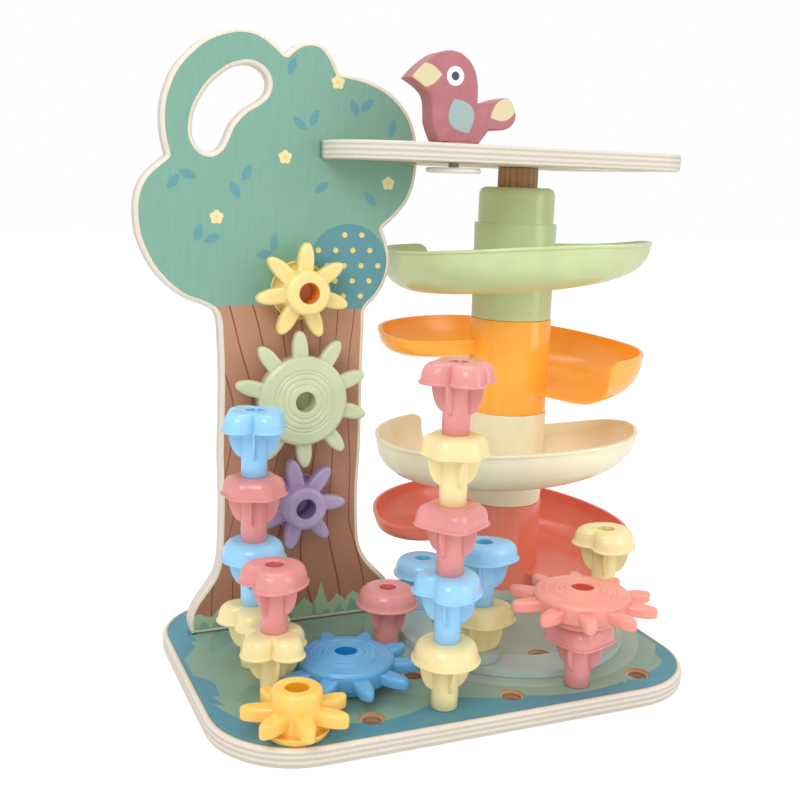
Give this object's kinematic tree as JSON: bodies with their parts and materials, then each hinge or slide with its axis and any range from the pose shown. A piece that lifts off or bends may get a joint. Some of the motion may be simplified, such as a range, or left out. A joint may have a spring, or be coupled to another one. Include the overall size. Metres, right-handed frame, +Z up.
{
  "type": "activity tree",
  "caption": "Wooden activity tree toy: base board with stacking pegs and turning gears, upright tree with gears, spiral ball ramps on a post, and a shelf with a sliding bird.",
  "frame": {"origin": "middle of the underside of the base board", "axes": "+X right along the front edge of the base, +Y to the back, +Z up"},
  "size_m": [0.3912, 0.3285, 0.4198],
  "materials": {
    "blue_print_on_plywood": "printed picture under a satin lacquer on birch plywood, bare plywood edge",
    "tree_print_on_plywood": "printed tree under a satin lacquer on birch plywood, bare plywood edge",
    "steel": "plated wood screw",
    "bare_plywood": "satin lacquered birch plywood",
    "post_wood": "oiled wood",
    "coral_plastic": "gloss moulded plastic",
    "ivory_plastic": "gloss moulded plastic",
    "orange_plastic": "gloss moulded plastic",
    "leaf_plastic": "gloss moulded plastic",
    "pale_blue_plastic": "satin moulded plastic",
    "bird_paint": "painted wood with printed details",
    "white_plastic": "satin moulded plastic",
    "amber_plastic": "gloss moulded plastic",
    "gear_blue_plastic": "gloss moulded plastic",
    "yellow_plastic": "gloss moulded plastic",
    "lilac_plastic": "gloss moulded plastic",
    "sky_plastic": "gloss moulded plastic",
    "pink_plastic": "gloss moulded plastic"
  },
  "bodies": {
    "frame": {"base_board": "blue_print_on_plywood", "tree_panel": "tree_print_on_plywood", "panel_screw_1": "steel", "panel_screw_2": "steel", "panel_screw_3": "steel", "top_board": "bare_plywood", "tower_post": "post_wood", "post_foot_screw": "steel", "post_top_screw": "steel", "ramp_coral": "coral_plastic", "ramp_ivory": "ivory_plastic", "ramp_orange": "orange_plastic", "ramp_green": "leaf_plastic", "ground_ring": "pale_blue_plastic", "ring_spacer": "pale_blue_plastic"},
    "bird": {"bird": "bird_paint", "bird_stem": "bare_plywood", "bird_button": "white_plastic"},
    "gear_base_amber": {"gear_base_amber": "amber_plastic"},
    "gear_base_blue": {"gear_base_blue": "gear_blue_plastic"},
    "gear_peg_coral": {"gear_peg_coral": "coral_plastic"},
    "gear_wall_yellow": {"gear_wall_yellow": "yellow_plastic"},
    "gear_wall_green": {"gear_wall_green": "leaf_plastic"},
    "gear_wall_purple": {"gear_wall_purple": "lilac_plastic"},
    "peg_a1_yellow": {"peg_a1_yellow": "yellow_plastic"},
    "peg_a2_blue": {"peg_a2_blue": "sky_plastic"},
    "peg_a3_pink": {"peg_a3_pink": "pink_plastic"},
    "peg_a4_blue": {"peg_a4_blue": "sky_plastic"},
    "peg_b1_yellow": {"peg_b1_yellow": "yellow_plastic"},
    "peg_b2_pink": {"peg_b2_pink": "pink_plastic"},
    "peg_c1_yellow": {"peg_c1_yellow": "yellow_plastic"},
    "peg_c2_blue": {"peg_c2_blue": "sky_plastic"},
    "peg_c3_pink": {"peg_c3_pink": "pink_plastic"},
    "peg_c4_yellow": {"peg_c4_yellow": "yellow_plastic"},
    "peg_c5_pink": {"peg_c5_pink": "pink_plastic"},
    "peg_d1_yellow": {"peg_d1_yellow": "yellow_plastic"},
    "peg_d2_blue": {"peg_d2_blue": "sky_plastic"},
    "peg_e1_pink": {"peg_e1_pink": "pink_plastic"},
    "peg_f1_blue": {"peg_f1_blue": "sky_plastic"},
    "peg_g1_pink": {"peg_g1_pink": "pink_plastic"},
    "peg_h1_yellow": {"peg_h1_yellow": "yellow_plastic"},
    "peg_h2_yellow": {"peg_h2_yellow": "yellow_plastic"}
  },
  "joints": [
    {"name": "bird_slide", "type": "slide", "parent": "frame", "child": "bird", "axis": [1, 0, 0], "range_m": [-0.02, 0.07]},
    {"name": "wall_green_spin", "type": "hinge", "parent": "frame", "child": "gear_wall_green", "pos_m": [-0.0724, 0.0593, 0.1785], "axis": [0, 1, 0], "continuous": true},
    {"name": "wall_yellow_spin", "type": "hinge", "parent": "frame", "child": "gear_wall_yellow", "pos_m": [-0.0724, 0.0593, 0.2523], "axis": [0, 1, 0], "continuous": true},
    {"name": "wall_purple_spin", "type": "hinge", "parent": "frame", "child": "gear_wall_purple", "pos_m": [-0.0724, 0.0593, 0.1047], "axis": [0, 1, 0], "continuous": true},
    {"name": "base_blue_spin", "type": "hinge", "parent": "frame", "child": "gear_base_blue", "pos_m": [-0.0708, -0.047, 0.0123], "axis": [0, 0, 1], "range_deg": [-1.2, 2.6]},
    {"name": "base_amber_spin", "type": "hinge", "parent": "frame", "child": "gear_base_amber", "pos_m": [-0.118, -0.0942, 0.0123], "axis": [0, 0, 1], "range_deg": [-3.72, 1.72]},
    {"name": "peg_coral_spin", "type": "hinge", "parent": "peg_g1_pink", "child": "gear_peg_coral", "pos_m": [0.0708, -0.0942, 0.0551], "axis": [0, 0, 1], "continuous": true},
    {"name": "lift_a1", "type": "slide", "parent": "frame", "child": "peg_a1_yellow", "axis": [0, 0, 1], "range_m": [0, 0.012]},
    {"name": "lift_b1", "type": "slide", "parent": "frame", "child": "peg_b1_yellow", "axis": [0, 0, 1], "range_m": [0, 0.012]},
    {"name": "lift_c1", "type": "slide", "parent": "frame", "child": "peg_c1_yellow", "axis": [0, 0, 1], "range_m": [0, 0.012]},
    {"name": "lift_d1", "type": "slide", "parent": "frame", "child": "peg_d1_yellow", "axis": [0, 0, 1], "range_m": [0, 0.012]},
    {"name": "lift_e1", "type": "slide", "parent": "frame", "child": "peg_e1_pink", "axis": [0, 0, 1], "range_m": [0, 0.012]},
    {"name": "lift_f1", "type": "slide", "parent": "frame", "child": "peg_f1_blue", "axis": [0, 0, 1], "range_m": [0, 0.012]},
    {"name": "lift_g1", "type": "slide", "parent": "frame", "child": "peg_g1_pink", "axis": [0, 0, 1], "range_m": [0, 0.012]},
    {"name": "lift_h1", "type": "slide", "parent": "frame", "child": "peg_h1_yellow", "axis": [0, 0, 1], "range_m": [0, 0.012]},
    {"name": "lift_a2", "type": "slide", "parent": "peg_a1_yellow", "child": "peg_a2_blue", "axis": [0, 0, 1], "range_m": [0, 0.012]},
    {"name": "lift_b2", "type": "slide", "parent": "peg_b1_yellow", "child": "peg_b2_pink", "axis": [0, 0, 1], "range_m": [0, 0.012]},
    {"name": "lift_c2", "type": "slide", "parent": "peg_c1_yellow", "child": "peg_c2_blue", "axis": [0, 0, 1], "range_m": [0, 0.012]},
    {"name": "lift_d2", "type": "slide", "parent": "peg_d1_yellow", "child": "peg_d2_blue", "axis": [0, 0, 1], "range_m": [0, 0.012]},
    {"name": "lift_h2", "type": "slide", "parent": "peg_h1_yellow", "child": "peg_h2_yellow", "axis": [0, 0, 1], "range_m": [0, 0.012]},
    {"name": "lift_a3", "type": "slide", "parent": "peg_a2_blue", "child": "peg_a3_pink", "axis": [0, 0, 1], "range_m": [0, 0.012]},
    {"name": "lift_c3", "type": "slide", "parent": "peg_c2_blue", "child": "peg_c3_pink", "axis": [0, 0, 1], "range_m": [0, 0.012]},
    {"name": "lift_a4", "type": "slide", "parent": "peg_a3_pink", "child": "peg_a4_blue", "axis": [0, 0, 1], "range_m": [0, 0.012]},
    {"name": "lift_c4", "type": "slide", "parent": "peg_c3_pink", "child": "peg_c4_yellow", "axis": [0, 0, 1], "range_m": [0, 0.012]},
    {"name": "lift_c5", "type": "slide", "parent": "peg_c4_yellow", "child": "peg_c5_pink", "axis": [0, 0, 1], "range_m": [0, 0.012]}
  ],
  "couplings": [
    {"joint": "wall_yellow_spin", "follows": "wall_green_spin", "ratio": -1.4286},
    {"joint": "wall_purple_spin", "follows": "wall_green_spin", "ratio": -1.4286},
    {"joint": "base_amber_spin", "follows": "base_blue_spin", "ratio": -1.4286}
  ]
}
